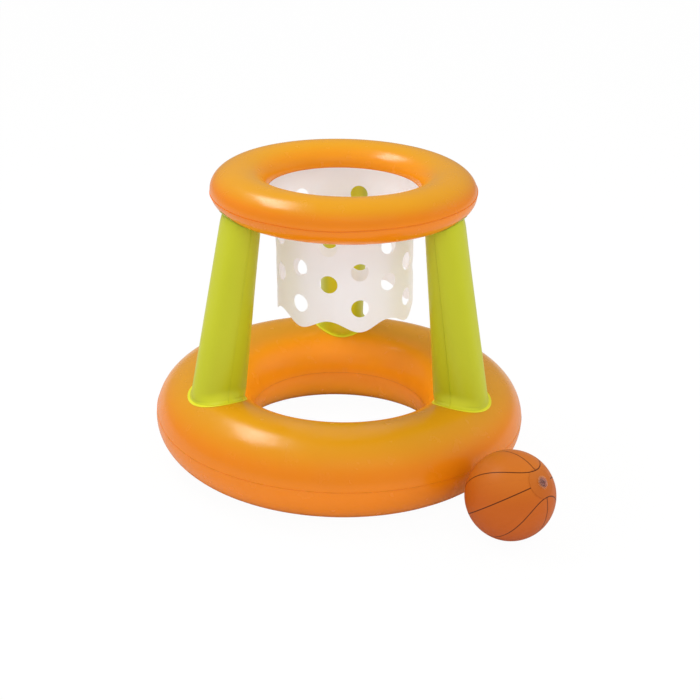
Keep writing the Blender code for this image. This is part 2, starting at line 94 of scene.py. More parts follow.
# How an outer weld wanders, as angles round the tube: its lean, or its rise and its hump
TOP_LEAN = (0.13, math.radians(58))
TOP_WANDER = 0.03
TOP_WANDER_WAVES = ((5, 0.6, 0.4), (9, 0.4, 1.1))
BASE_RISE = 0.035
BASE_HUMP = (0.15, math.radians(178), 10)

# Legs
LEG_AZIMUTHS = {"left": 207.6, "right": 333.2, "back": 90.0}
FOOT_HEIGHT = 0.1531
FLARE_HEIGHT = 0.019
STRAIGHT_HEIGHT = 0.1671  # where a leg has the size FOOT
HEAD_HEIGHT = 0.4561
HEAD_SEARCH = (-0.006, 0.03)  # from HEAD_HEIGHT, where a panel may meet the top ring
HALVINGS = 40  # of the search for that height
WELD = (0.2404, 0.0469, 0.0530)  # middle, half depth and half width
FOOT = (0.2358, 0.0486, 0.0401)
HEAD = (0.1935, 0.0315, 0.0473)
LEG_COLUMNS = 72
LEG_ROWS = 90
LEG_CROWDING = 0.11  # how much closer the rows lie at both ends
LEG_END_FADE = 0.004  # the height over which folds die out at an end
LEG_PUCKER = 0.0004
LEG_PUCKER_FADE = 0.2  # radians round the tube, from a seam
LEG_FOLD = 0.0007
LEG_NUMBER_STEP = 1.3  # sets the folds of one leg apart from those of the next
FOOT_PUCKER = (0.0005, 0.012)  # depth, and the height over which it fades
FOOT_GROOVE = (0.0014, 0.0026, 0.0013)  # depth, height over the weld, and half width
HEAD_PINCH = (0.0016, 0.0006, 0.016)  # depth, its swing, and the height over which it fades

# Patches, and what is cut through a skin
PATCH_RIM = 0.003
PATCH_BEAD = 0.0006
BEAD_HALF_WIDTH = 0.001
PATCH_SEGMENTS = 128
PATCH_PLAIN = (0.9, 10)  # share of the way out that is plain, and its rows
PATCH_EDGE = (0.915, 12)  # where the rows at the bead start, and how many they are
PORT_RADIUS = 0.006
HOLE_RADIUS = 0.0065
PIN_SEGMENTS = 40
PIN_DEPTH = 0.012

# Net
NET_EDGE_RADIUS = 0.1305
NET_RADIUS = 0.1200
NET_TOP = TOP_RING[1] - GAP / 2 - SKIN - GAP
NET_DRAW_IN = 0.105
NET_HEM_DROP = 0.2102
NET_HEM_WAVE = 0.009
NET_SWAY = 0.006
NET_COLUMNS = 7
NET_COLUMN_AZIMUTH = math.radians(-76.6)
NET_START = NET_COLUMN_AZIMUTH - 0.5 * math.pi / NET_COLUMNS  # where its two ends meet
NET_WIDTH = 2 * math.pi * NET_RADIUS
NET_HOLE_RADIUS = 0.0155
NET_HOLE_PITCH = 0.065
NET_LONG = (3, 0.0462)  # holes in a column, and how far the first lies under the seam
NET_SHORT = (2, 0.0692)
NET_FLANGE = 0.0009
NET_FOLD = 0.0016
NET_FOLD_DROP = 0.08  # under the seam, where the folds reach their full depth
NET_FOLD_GROWTH = 1.3
NET_FOLD_WAVES = ((5, 0.42, 0.4), (9, 0.33, 2.2), (14, 0.25, 1.0))

# Points of the net, as shares of their spacing where nothing else is said
NET_SPACING = 0.0042
NET_ROW_PITCH = 0.87
NET_FIRST_ROW = 0.6
NET_CLEAR_OF_HOLE = 0.45
NET_CLEAR_OF_HEM = 0.5
NET_CLEAR_OF_END = 0.4
NET_LONGEST = 3
NET_HOLE_SEGMENTS = 44
NET_HOLE_BORDER = 0.0011  # metres, from a hole to its second ring of points
NET_HOLE_TEST = 0.999  # share of a hole's radius in which a triangle is left out

# Ball: the height and reach of its middle, from the hoop's axis
BALL_RADIUS = 0.0749
BALL_HEIGHT = 0.075
BALL_REACH = 0.4277
BALL_BEARING = math.radians(-48.3)
BALL_GORES = 6
GORE_ROWS = 84
GORE_COLUMNS = 29
GORE_CROWDING = 1.25
BALL_PATCH_RADIUS = 0.0255
BALL_PATCH_ROWS = 30
BALL_PATCH_SEGMENTS = 120
BALL_BEAD = (0.0002, 0.0012, 0.0008)  # height, place from the edge, and half width

# The ball's printed pattern, on a ball of radius 1
BALL_ROLL = math.radians(-3.2)  # about the valve's axis
UPPER_CURVE = (0.292, 0.725)  # its middle, and how it bends
LOWER_CURVE = (0.326, 0.754)
POLE_CLEAR = math.radians(19.8)  # about the valve's axis, where the level line stops
INK_EDGE = (0.0088, 0.0138)

# Inflation valves: places
VALVE_RISE = math.radians(25.0)  # round a ring's tube, from its outer seam
BASE_VALVE_AZIMUTH = math.radians(60.0)
TOP_VALVE_AZIMUTH = math.radians(120.0)
BALL_VALVE_AZIMUTH = math.radians(-41.1)
BALL_VALVE_RISE = math.radians(37.4)
BALL_VALVE_LEVEL = 0.0756  # from the ball's middle

# Inflation valves: radii, and heights over the skin
MOULDED_WALL = 0.0012
VALVE_BORE = 0.0050
VALVE_NECK = VALVE_BORE + MOULDED_WALL
NECK_DEPTH = 0.0040
FLANGE_RADIUS = 0.0110
FLANGE_BEVEL = 0.0004
FLANGE_TOP = GAP + 0.0010
STEM_RADIUS = VALVE_BORE - GAP
STEM_BORE = STEM_RADIUS - MOULDED_WALL
STEM_RIM_RADIUS = 0.0088
STEM_RIM_BEVEL = 0.0002
STEM_RIM = FLANGE_TOP + GAP
STEM_TOP = STEM_RIM + 0.0008
STEM_LENGTH = 0.0150
STEM_END = STEM_TOP - STEM_LENGTH
KEEPER_RADIUS = 0.0064
KEEPER_TOP = STEM_END + MOULDED_WALL
STOPPER_SEAT = STEM_TOP + GAP
STOPPER_TOP = STOPPER_SEAT + 0.0014
STOPPER_HEAD = 0.0052
STOPPER_CROWN = 0.0040
STOPPER_SHOULDER = STOPPER_TOP - 0.0005
PLUG_RADIUS = STEM_BORE - GAP
PLUG_END = STOPPER_SEAT - 0.0065
PLUG_BEVEL = 0.0006
FLAP_RADIUS = 0.0045
FLAP_THICKNESS = 0.0006
FLAP_TOP = STEM_END - GAP
STRAP_START = 0.0055
STRAP_END = 0.0080
STRAP_RISE = 0.0032
STRAP_HALF_THICKNESS = 0.0003
STRAP_HALF_WIDTH = 0.0011
STRAP_ROWS = 25
STRAP_SIDES = 16
STRAP_SQUARENESS = 0.6  # 1 for a round section, less for a square one
VALVE_SEGMENTS = 48
CORNER = {"collar": 0.0005, "stem": 0.0003, "stopper": 0.0005, "flap": 0.00015}
CORNER_LIMIT = 0.45  # share of a side that a corner may take
CORNER_STEPS = 3


# Meshes


def link(name, mesh, matrix=None):
    obj = bpy.data.objects.new(name, mesh)
    bpy.context.scene.collection.objects.link(obj)
    if matrix is not None:
        obj.matrix_world = matrix
    return obj


def solid(name, points, faces, matrix=None):
    """A closed mesh with its faces out, smooth but for its true edges."""
    mesh = bpy.data.meshes.new(name)
    mesh.from_pydata([tuple(point) for point in points], [], faces)
    if matrix is not None:
        mesh.transform(matrix)
    bm = bmesh.new()
    bm.from_mesh(mesh)
    bmesh.ops.remove_doubles(bm, verts=bm.verts, dist=MERGE)
    bmesh.ops.recalc_face_normals(bm, faces=bm.faces)
    bm.to_mesh(mesh)
    bm.free()
    mesh.shade_smooth()
    mesh.set_sharp_from_angle(angle=SHARP_ANGLE)
    return link(name, mesh)


def grid_faces(rows, cols, first, wrap_rows, wrap_cols):
    """The faces of a grid whose points count on from first."""
    faces = []
    for i in range(rows if wrap_rows else rows - 1):
        for j in range(cols if wrap_cols else cols - 1):
            i2, j2 = (i + 1) % rows, (j + 1) % cols
            corners = (i * cols + j, i * cols + j2, i2 * cols + j2, i2 * cols + j)
            faces.append(tuple(first + corner for corner in corners))
    return faces


def film(name, outside, inside, wrap_cols=False, matrix=None):
    """A closed sheet between two grids of points, rows by columns."""
    rows, cols = outside.shape[:2]
    back = rows * cols
    faces = grid_faces(rows, cols, 0, False, wrap_cols)
    faces += [face[::-1] for face in grid_faces(rows, cols, back, False, wrap_cols)]
    for i in (0, rows - 1):
        for j in range(cols if wrap_cols else cols - 1):
            a, b = i * cols + j, i * cols + (j + 1) % cols
            faces.append((a, b, back + b, back + a))
    if not wrap_cols:
        for j in (0, cols - 1):
            for i in range(rows - 1):
                a, b = i * cols + j, (i + 1) * cols + j
                faces.append((a, b, back + b, back + a))
    points = np.concatenate([outside.reshape(-1, 3), inside.reshape(-1, 3)])
    return solid(name, points, faces, matrix)


def turned(name, profile, matrix):
    """A closed profile of (radius, height), turned round Z."""
    turns = np.linspace(0, 2 * math.pi, VALVE_SEGMENTS, endpoint=False)
    rows = [[(r * math.cos(t), r * math.sin(t), z) for t in turns] for r, z in profile]
    faces = grid_faces(len(profile), VALVE_SEGMENTS, 0, True, True)
    return solid(name, np.array(rows).reshape(-1, 3), faces, matrix)


def rounded(profile, radius):
    """The profile with each corner off the axis turned into a small curve."""
    out = []
    for i, corner in enumerate(profile):
        here = Vector(corner)
        if here.x < MERGE:
            out.append(corner)
            continue
        before, after = Vector(profile[i - 1]) - here, Vector(profile[(i + 1) % len(profile)]) - here
        near = here + before.normalized() * min(radius, before.length * CORNER_LIMIT)
        far = here + after.normalized() * min(radius, after.length * CORNER_LIMIT)
        for k in range(CORNER_STEPS + 1):
            s = k / CORNER_STEPS
            out.append(tuple(near * (1 - s) ** 2 + here * (2 * s * (1 - s)) + far * s ** 2))
    return out


def cut(obj, cutters):
    """Cut the cutters out of a piece, and remove them."""
    for cutter in cutters:
        modifier = obj.modifiers.new("cut", "BOOLEAN")
        modifier.operation = "DIFFERENCE"
        modifier.object = cutter
        modifier.solver = "EXACT"
    bpy.context.view_layer.update()
    evaluated = obj.evaluated_get(bpy.context.evaluated_depsgraph_get())
    mesh = bpy.data.meshes.new_from_object(evaluated)
    obj.modifiers.clear()
    obj.data = mesh
    for cutter in cutters:
        bpy.data.objects.remove(cutter, do_unlink=True)


def pin(radius, matrix):
    """A round cutter along Z, through one skin."""
    bm = bmesh.new()
    size = {"radius1": radius, "radius2": radius, "depth": PIN_DEPTH}
    bmesh.ops.create_cone(bm, cap_ends=True, segments=PIN_SEGMENTS, **size)
    mesh = bpy.data.meshes.new("pin")
    bm.to_mesh(mesh)
    bm.free()
    return link("pin", mesh, matrix)


def waves(angle, parts):
    """A sum of sines as (count, share, shift), which looks irregular and repeats each turn."""
    return sum(share * np.sin(count * angle + shift) for count, share, shift in parts)


def directions(azimuth, away, up):
    """X, Y and Z of a piece that looks out at an azimuth, where away and up are the parts of its Z."""
    along, across = math.cos(azimuth), math.sin(azimuth)
    x, y, z = (along * up, across * up, -away), (-across, along, 0.0), (along * away, across * away, up)
    return Vector(x), Vector(y), Vector(z)


def frame_of(place, axes):
    """The matrix of a piece's own frame, from its place and its X, Y and Z."""
    return Matrix.Translation(place) @ Matrix(axes).transposed().to_4x4()


# Places of the ball and the valves


def ring_valve(radius, ring, azimuth):
    """The frame of a valve on a ring's tube, of which radius is the middle."""
    _, height, half_width, half_height = ring
    along, up = math.cos(VALVE_RISE), math.sin(VALVE_RISE)
    normal = Vector((along / half_width, up / half_height)).normalized()
    reach = radius + half_width * along
    place = Vector((reach * math.cos(azimuth), reach * math.sin(azimuth), height + half_height * up))
    return frame_of(AXIS + place, directions(azimuth, *normal))


BALL_CENTRE = AXIS + Vector((BALL_REACH * math.cos(BALL_BEARING), BALL_REACH * math.sin(BALL_BEARING),
                             BALL_HEIGHT))
BALL_AXES = directions(BALL_VALVE_AZIMUTH, math.cos(BALL_VALVE_RISE), math.sin(BALL_VALVE_RISE))
VALVES = {
    "base": ring_valve(BASE_RADIUS, BASE_RING, BASE_VALVE_AZIMUTH),
    "top": ring_valve(TOP_RADIUS, TOP_RING, TOP_VALVE_AZIMUTH),
    "ball": frame_of(BALL_CENTRE + BALL_VALVE_LEVEL * BALL_AXES[2], BALL_AXES),
}


# Rings


def ring_height(radius, ring, side, grow):
    """Height of a ring's surface, grown by a level, at a distance from the hoop's axis."""
    middle, height, half_width, half_height = ring
    across = np.clip((radius - middle) / (half_width + grow), -1, 1)
    return height + side * (half_height + grow) * np.sqrt(1 - across ** 2)


def ring_film(name, ring, side, segments, lip_width, slip):
    """One skin of a ring, with the flat lip of its weld at both edges and faint puckers beside it.

    The outer weld wanders round the tube by the angle slip, a function of the turn.
    """
    middle, height, half_width, half_height = ring
    turn = np.linspace(0, 2 * math.pi, segments, endpoint=False)[None, :]
    start = side * slip(turn)
    t = np.linspace(0, math.pi, RING_STEPS)[:, None]
    t = t - RING_CROWDING * np.sin(2 * t)
    t = start + t * (math.pi - start) / math.pi
    outer_half = t < math.pi / 2
    to_seam = np.minimum(t - start, math.pi - t) * half_width
    pull = SEAM_PUCKER * np.exp(-to_seam / SEAM_FADE) * (0.5 + 0.5 * waves(turn, SEAM_WAVES))
    layers = []
    for inset, level in ((0.0, SEAM_GAP + SKIN), (SKIN, SEAM_GAP)):
        across = (half_width - inset - pull) * np.cos(t)
        edge_up = side * (half_height * np.sin(side * start))
        lowest = np.where(outer_half, edge_up, 0.0) + level
        up = np.maximum((half_height - inset - pull) * np.sin(t), lowest)
        lip = (half_width + lip_width) * np.cos(start)
        inner_lip = np.full((1, segments), half_width + HIDDEN_LIP)
        across = np.concatenate([lip, across, -inner_lip])
        up = np.concatenate([edge_up + level, up, np.full((1, segments), level)])
        z = height + side * up
        z = np.maximum(z, inset) if side < 0 else z
        r = middle + across
        layers.append(np.stack([r * np.cos(turn), r * np.sin(turn), z], axis=2) + np.array(AXIS))
    return film(name, *layers, wrap_cols=True)


# Legs


def leg_size(height, low):
    """Middle, half depth and half width of a leg at each height, flared out to its weld at the height low."""
    flare = (1 - np.clip((height - low) / FLARE_HEIGHT, 0, 1)) ** 2
    sizes = []
    for weld, foot, head in zip(WELD, FOOT, HEAD):
        slope = (head - foot) / (HEAD_HEIGHT - STRAIGHT_HEIGHT)
        straight = foot + slope * (height - STRAIGHT_HEIGHT)
        straight_low = foot + slope * (low - STRAIGHT_HEIGHT)
        sizes.append(straight + (weld - straight_low) * flare)
    return sizes


def leg_point(t, lip, size, side, inset, level, bulge):
    """A panel's point at an angle round the oval: as (out, across)."""
    middle, half_depth, half_width = size
    out = np.maximum((half_depth - inset) * np.sin(t), level)
    across = (half_width - inset) * np.cos(t)
    push_out, push_across = np.sin(t) / half_depth, np.cos(t) / half_width
    length = np.hypot(push_out, push_across)
    out = out + np.where(lip, 0, bulge * push_out / length)
    lip_across = np.sign(np.cos(t)) * (half_width + SHOWN_LIP["leg"])
    across = np.where(lip, lip_across, across + bulge * push_across / length)
    return middle + side * out, across


def meet(point_at, low, high, surface):
    """Heights at which each column of a leg meets a ring's surface."""
    for _ in range(HALVINGS):
        middle = (low + high) / 2
        above = middle > surface(np.hypot(*point_at(middle)))
        low, high = np.where(above, low, middle), np.where(above, middle, high)
    return (low + high) / 2


def foot_creases(t, rise, number):
    """Puckers over the weld of a leg's foot, and the groove above it, at a rise over the weld."""
    depth, fade = FOOT_PUCKER
    puckers = depth * np.exp(-rise / fade) * (0.5 + 0.5 * waves(t, ((13, 0.6, number), (22, 0.4, 0.3))))
    depth, middle, half_width = FOOT_GROOVE
    groove = depth * np.exp(-((rise - middle) / half_width) ** 2)
    return -puckers - groove * (0.6 + 0.4 * waves(t, ((5, 1.0, number),)))


def leg_bulge(t, height, ends, number):
    """Soft folds and puckers of a leg's film, in metres along its normal."""
    low, high = ends
    seam = np.minimum(t, math.pi - t)
    up = (height - low) / (high - low)
    window = np.clip(np.minimum(height - low, high - height) / LEG_END_FADE, 0, 1)
    along = waves(height * 2 * math.pi, ((58, 0.5, number), (83, 0.3, 2 * number), (131, 0.2, 1.7)))
    pucker = -LEG_PUCKER * np.exp(-seam / LEG_PUCKER_FADE) * (0.6 + 0.4 * along)
    fold = LEG_FOLD * waves(t, ((5, 0.6, 0.8 + number + 1.6 * up), (8, 0.4, 2.1 * number - 2.4 * up)))
    fold = fold * np.sqrt(np.sin(math.pi * np.clip(up, 0, 1)))
    depth, swing, reach = HEAD_PINCH
    near_head = np.clip(1 - (high - height) / reach, 0, 1) ** 2
    head = -near_head * (depth + swing * waves(t, ((11, 0.6, 1.1 * number), (19, 0.4, 2.0))))
    return window * (pucker + fold + foot_creases(t, height - low, number)) + head


def foot_surface(radius):
    """Height at which a leg's panels rest on the base ring."""
    return ring_height(radius, BASE_RING, 1, PANEL_LEVEL)


def head_surface(radius):
    """Height at which they meet the top ring."""
    return ring_height(radius, TOP_RING, -1, PANEL_LEVEL)


def leg_film(name, azimuth, side, number):
    """One panel of a leg, from the base ring's surface to the top ring's."""
    t = np.linspace(0, math.pi, LEG_COLUMNS)
    t = np.concatenate([[0.0], t, [math.pi]])[None, :]
    lip = np.zeros(t.shape, bool)
    lip[0, 0] = lip[0, -1] = True
    share = np.linspace(0, 1, LEG_ROWS)[:, None]
    share = share - LEG_CROWDING * np.sin(2 * math.pi * share)
    turn = math.radians(azimuth)
    layers = []
    for inset, level in ((0.0, SEAM_GAP + SKIN), (SKIN, SEAM_GAP)):
        low = foot_surface(np.hypot(*leg_point(t, lip, WELD, side, inset, level, 0.0)))

        def plain(height):
            return leg_point(t, lip, leg_size(height, low), side, inset, level, 0.0)

        def full(height):
            bulge = leg_bulge(t, height, ends, number)
            return leg_point(t, lip, leg_size(height, low), side, inset, level, bulge)

        search = [np.full(t.shape, HEAD_HEIGHT + shift) for shift in HEAD_SEARCH]
        ends = low, meet(plain, *search, head_surface)
        ends = low, meet(full, *search, head_surface)
        height = ends[0] + (ends[1] - ends[0]) * share
        out, across = full(height)
        x = AXIS.x + out * math.cos(turn) - across * math.sin(turn)
        y = AXIS.y + out * math.sin(turn) + across * math.cos(turn)
        layers.append(np.stack([x, y, height], axis=2))
    return film(name, *layers)


def patch_film(name, azimuth, ring, side, size, port, rim, bead_height):
    """A welded patch that lies on a ring round the end of a leg, with a bead along its rim."""
    middle, half_depth, half_width = size
    plain, plain_rows = PATCH_PLAIN
    rim_start, rim_rows = PATCH_EDGE
    share = np.concatenate([np.linspace(0, plain, plain_rows), np.linspace(rim_start, 1, rim_rows)])[:, None]
    angle = np.linspace(0, 2 * math.pi, PATCH_SEGMENTS, endpoint=False)[None, :]
    out = middle + (port + (half_depth + rim - port) * share) * np.cos(angle)
    across = (port + (half_width + rim - port) * share) * np.sin(angle)
    edge = (1 - share) * (half_depth + rim)
    bead = bead_height * np.sqrt(np.clip(1 - (edge / BEAD_HALF_WIDTH - 1) ** 2, 0, 1))
    turn = math.radians(azimuth)
    layers = []
    for level in (PATCH_LEVEL + bead, GAP + 0 * bead):
        z = ring_height(np.hypot(out, across), ring, side, level)
        x = AXIS.x + out * math.cos(turn) - across * math.sin(turn)
        y = AXIS.y + out * math.sin(turn) + across * math.cos(turn)
        layers.append(np.stack([x, y, z], axis=2))
    return film(name, *layers, wrap_cols=True)


# Net


def net_hem(u):
    """Drop of the scalloped hem, at a length u along the net."""
    turn = NET_START + u / NET_RADIUS - NET_COLUMN_AZIMUTH
    return NET_HEM_DROP + NET_HEM_WAVE * np.cos(NET_COLUMNS * turn)


def net_holes():
    """Middles of the net's holes, as (length along the net, drop)."""
    spots = []
    step = math.pi / NET_COLUMNS
    for column in range(2 * NET_COLUMNS):
        count, first = NET_LONG if column % 2 == 0 else NET_SHORT
        u = (column + 0.5) * step * NET_RADIUS
        spots += [(u, first + NET_HOLE_PITCH * row) for row in range(count)]
    return np.array(spots)


def net_rows(around, holes):
    """Loose points in staggered rows, clear of the net's edges and holes."""
    points = []
    row, drop = 0, NET_FIRST_ROW * NET_SPACING
    clear_radius = NET_HOLE_RADIUS + NET_HOLE_BORDER + NET_CLEAR_OF_HOLE * NET_SPACING
    end = NET_CLEAR_OF_END * NET_SPACING
    while drop < NET_HEM_DROP + NET_HEM_WAVE:
        for i in range(around):
            u = NET_WIDTH * (i + 0.5 * (row % 2)) / around
            clear = np.hypot(*(holes - (u, drop)).T).min() > clear_radius
            inside = drop < net_hem(u) - NET_CLEAR_OF_HEM * NET_SPACING
            if clear and inside and end < u < NET_WIDTH - end:
                points.append(Vector((u, drop)))
        row, drop = row + 1, drop + NET_ROW_PITCH * NET_SPACING
    return points


def net_plan(holes):
    """Points of the flat net, and the edges that its outline, its flange and its holes hold."""
    points, edges = [], []

    def chain(loop, closed=False):
        """Add the points of a line or a loop, and the edges between them."""
        first = len(points)
        points.extend(Vector(point) for point in loop)
        count = len(loop)
        edges.extend((first + i, first + (i + 1) % count) for i in range(count if closed else count - 1))

    around = int(NET_WIDTH / NET_SPACING)
    lines = [NET_WIDTH * i / around for i in range(around + 1)]
    chain([(u, -NET_FLANGE) for u in lines])
    chain([(u, 0.0) for u in lines])
    chain([(u, float(net_hem(u))) for u in lines])
    drop = float(net_hem(0.0))
    steps = int(drop / NET_SPACING)
    for u in (0.0, NET_WIDTH):
        chain([(u, -NET_FLANGE), (u, 0.0)])
        chain([(u, drop * i / steps) for i in range(steps + 1)])
    angles = [2 * math.pi * i / NET_HOLE_SEGMENTS for i in range(NET_HOLE_SEGMENTS)]
    for u, v in holes:
        for r in (NET_HOLE_RADIUS, NET_HOLE_RADIUS + NET_HOLE_BORDER):
            chain([(u + r * math.cos(a), v + r * math.sin(a)) for a in angles], True)
    return points + net_rows(around, holes), edges


def net_triangles(flat, triangles, holes):
    """Those of the triangles that lie on the sheet, not past its hem or in a hole."""
    kept = []
    for triangle in triangles:
        corners = flat[list(triangle)]
        u, v = corners.mean(axis=0)
        outside = v > net_hem(u) or np.ptp(corners[:, 0]) > NET_LONGEST * NET_SPACING
        in_hole = np.hypot(*(holes - (u, v)).T).min() < NET_HOLE_RADIUS * NET_HOLE_TEST
        if not (outside or in_hole):
            kept.append(tuple(triangle))
    return kept


def net_layers(flat):
    """The outer and inner face of the net as it hangs, with soft folds and a sway to the side."""
    turn = NET_START + flat[:, 0] / NET_RADIUS
    drop = flat[:, 1]
    below = np.maximum(drop, 0)
    share = np.clip(drop / NET_DRAW_IN, 0, 1)
    radius = NET_RADIUS + (NET_EDGE_RADIUS - NET_RADIUS) * (1 - share) ** 2 + np.maximum(-drop, 0)
    hang = np.clip(drop / NET_FOLD_DROP, 0, 1) ** NET_FOLD_GROWTH
    radius = radius + NET_FOLD * hang * waves(turn, NET_FOLD_WAVES)
    flange = drop < 0
    layers = []
    for inset in (0.0, SKIN):
        r = radius - np.where(flange, 0.0, inset)
        z = NET_TOP - below - np.where(flange, inset, 0.0)
        x = AXIS.x + r * np.cos(turn) + NET_SWAY * below / NET_HEM_DROP
        layers.append(np.stack([x, AXIS.y + r * np.sin(turn), z], axis=1))
    return layers


def net_film(name):
    """The net as one sheet with round holes, hung from the ring's inner seam."""
    holes = net_holes()
    points, edges = net_plan(holes)
    flat, _, triangles = delaunay_2d_cdt(points, edges, [], 0, MERGE)[:3]
    flat = np.array([(point.x, point.y) for point in flat])
    kept = net_triangles(flat, triangles, holes)
    outer, inner = net_layers(flat)
    used = {}
    for triangle in kept:
        for a, b in zip(triangle, triangle[1:] + triangle[:1]):
            used.setdefault(frozenset((a, b)), []).append((a, b))
    back = len(outer)
    faces = kept + [tuple(back + i for i in reversed(triangle)) for triangle in kept]
    ends = {i for i, u in enumerate(flat[:, 0]) if u < MERGE or u > NET_WIDTH - MERGE}
    for key, sides in used.items():
        if len(sides) == 1 and not key <= ends:
            a, b = sides[0]
            faces.append((b, a, back + a, back + b))
    return solid(name, np.concatenate([outer, inner]), faces)


# Ball


def ball_point(radius, polar, turn):
    """Points of a ball round the origin, by the angle from its pole and the turn round it."""
    s = radius * np.sin(polar)
    return np.stack([s * np.cos(turn), s * np.sin(turn), radius * np.cos(polar) + 0 * turn], axis=2)


def gore_film(name, number, matrix):
    """One panel of the ball, from the hole round one pole to the other."""
    width = 2 * math.pi / BALL_GORES
    tip = math.asin(HOLE_RADIUS / BALL_RADIUS)
    polar = np.linspace(tip, math.pi - tip, GORE_ROWS)[:, None]
    share = np.linspace(-1, 1, GORE_COLUMNS)
    share = np.sign(share) * (1 - (1 - np.abs(share)) ** GORE_CROWDING)
    gap = SEAM_GAP / (BALL_RADIUS * np.sin(polar))
    turn = width * (number + 0.5) + share[None, :] * (width / 2 - gap)
    inner = BALL_RADIUS - SKIN
    return film(name, ball_point(BALL_RADIUS, polar, turn), ball_point(inner, polar, turn), matrix=matrix)


def ball_patch(name, hole, matrix):
    """The round patch that covers the tips of the gores at a pole, with a bead beside its edge."""
    level = BALL_RADIUS + GAP
    edge = math.asin(BALL_PATCH_RADIUS / level)
    start = math.asin(hole / level)
    polar = (start + (edge - start) * np.linspace(0, 1, BALL_PATCH_ROWS))[:, None]
    turn = np.linspace(0, 2 * math.pi, BALL_PATCH_SEGMENTS, endpoint=False)[None, :]
    height, middle, half_width = BALL_BEAD
    bead = height * np.exp(-(((edge - polar) * level - middle) / half_width) ** 2)
    outside = ball_point(level + SKIN + bead + 0 * turn, polar, turn)
    return film(name, outside, ball_point(level + 0 * turn, polar, turn), wrap_cols=True, matrix=matrix)


# Valves, in their own frame


def strap_mesh(name, matrix):
    """An arch of moulded strap from the stopper's head to the rim of the stem."""
    middle, reach = (STRAP_START + STRAP_END) / 2, (STRAP_END - STRAP_START) / 2
    turns = np.linspace(0, math.pi, STRAP_ROWS)[:, None]
    loop = np.linspace(0, 2 * math.pi, STRAP_SIDES, endpoint=False)[None, :]
    across = STRAP_HALF_WIDTH * np.sign(np.sin(loop)) * np.abs(np.sin(loop)) ** STRAP_SQUARENESS
    depth = STRAP_HALF_THICKNESS * np.sign(np.cos(loop)) * np.abs(np.cos(loop)) ** STRAP_SQUARENESS
    x = middle + (reach - STRAP_HALF_THICKNESS + depth) * np.cos(turns)
    z = STOPPER_SEAT + (STRAP_RISE - STRAP_HALF_THICKNESS + depth) * np.sin(turns)
    grid = np.stack([x, across + 0 * turns, z], axis=2)
    rows, cols = grid.shape[:2]
    faces = grid_faces(rows, cols, 0, False, True)
    faces.append(tuple(range(cols)))
    faces.append(tuple((rows - 1) * cols + j for j in reversed(range(cols))))
    return solid(name, grid.reshape(-1, 3), faces, matrix)


# Each closed profile as (radius, height); the flap's heights count from FLAP_TOP
PROFILES = {
    "collar": [(VALVE_BORE, -NECK_DEPTH), (VALVE_NECK, -NECK_DEPTH), (VALVE_NECK, GAP), (FLANGE_RADIUS, GAP),
               (FLANGE_RADIUS - FLANGE_BEVEL, FLANGE_TOP), (VALVE_BORE, FLANGE_TOP)],
    "stem": [(STEM_BORE, STEM_END), (KEEPER_RADIUS, STEM_END), (KEEPER_RADIUS, KEEPER_TOP),
             (STEM_RADIUS, KEEPER_TOP), (STEM_RADIUS, STEM_RIM), (STEM_RIM_RADIUS, STEM_RIM),
             (STEM_RIM_RADIUS - STEM_RIM_BEVEL, STEM_TOP), (STEM_BORE, STEM_TOP)],
    "stopper": [(0.0, PLUG_END), (PLUG_RADIUS - PLUG_BEVEL, PLUG_END), (PLUG_RADIUS, PLUG_END + PLUG_BEVEL),
                (PLUG_RADIUS, STOPPER_SEAT), (STOPPER_HEAD, STOPPER_SEAT), (STOPPER_HEAD, STOPPER_SHOULDER),
                (STOPPER_CROWN, STOPPER_TOP), (0.0, STOPPER_TOP)],
    "flap": [(0.0, -FLAP_THICKNESS), (FLAP_RADIUS, -FLAP_THICKNESS), (FLAP_RADIUS, 0.0), (0.0, 0.0)],
}


def valve_piece(valve, piece):
    """One piece of a valve, with softly moulded edges."""
    name, matrix = f"{valve}_valve_{piece}_vinyl", VALVES[valve]
    if piece == "strap":
        return strap_mesh(name, matrix)
    if piece == "flap":
        matrix = matrix @ Matrix.Translation((0.0, 0.0, FLAP_TOP))
    return turned(name, rounded(PROFILES[piece], CORNER[piece]), matrix)


# Colours: stops of (how far a face looks up, colour), which paint light and shade by facing; two that a faint
# cloud mixes; or a plain one

# Orange film by facing, as painted light: golden and lower in red on top, where the lamps fall, and redder
# beneath.
ORANGE_PAINTED_LIGHT = ((-1.0, (0.82, 0.243, 0.004)), (-0.1, (0.80, 0.221, 0.003)), (0.35, (0.735, 0.205, 0.003)),
          (1.0, (0.645, 0.288, 0.005)))
# Painted light on the rings' inner sides, mixed in where they look at the hoop's axis. The base ring's is far
# lighter, most where it looks down, in place of light through the film and off the floor. The top ring's
# differs only a little from its outer stops.
BASE_INNER_PAINTED_LIGHT = ((-1.0, (0.99, 0.460, 0.014)), (0.0, (0.98, 0.350, 0.010)), (1.0, (0.95, 0.335, 0.009)))
TOP_INNER_PAINTED_LIGHT = ((-1.0, (0.80, 0.260, 0.004)), (0.1, (0.79, 0.255, 0.004)), (1.0, (0.72, 0.270, 0.004)))
ORANGE_WELD = ((0.76, 0.185, 0.005), (0.90, 0.26, 0.006))
# Lime film by facing, as painted light: lighter on top and darker beneath. The inner lime is painted light on
# the faces that look at the hoop's axis.
LIME_PAINTED_LIGHT = ((-1.0, (0.40, 0.44, 0.012)), (0.0, (0.485, 0.515, 0.013)), (1.0, (0.60, 0.62, 0.020)))
LIME_INNER_PAINTED_LIGHT = (0.70, 0.67, 0.025)
# Foot patches, lighter than the legs' film: a painted glow of light through the film at the feet.
LIME_RIM_PAINTED_GLOW = ((0.66, 0.66, 0.020), (0.80, 0.78, 0.025))
FROSTED = ((0.945, 0.962, 0.990), (0.968, 0.980, 0.998))
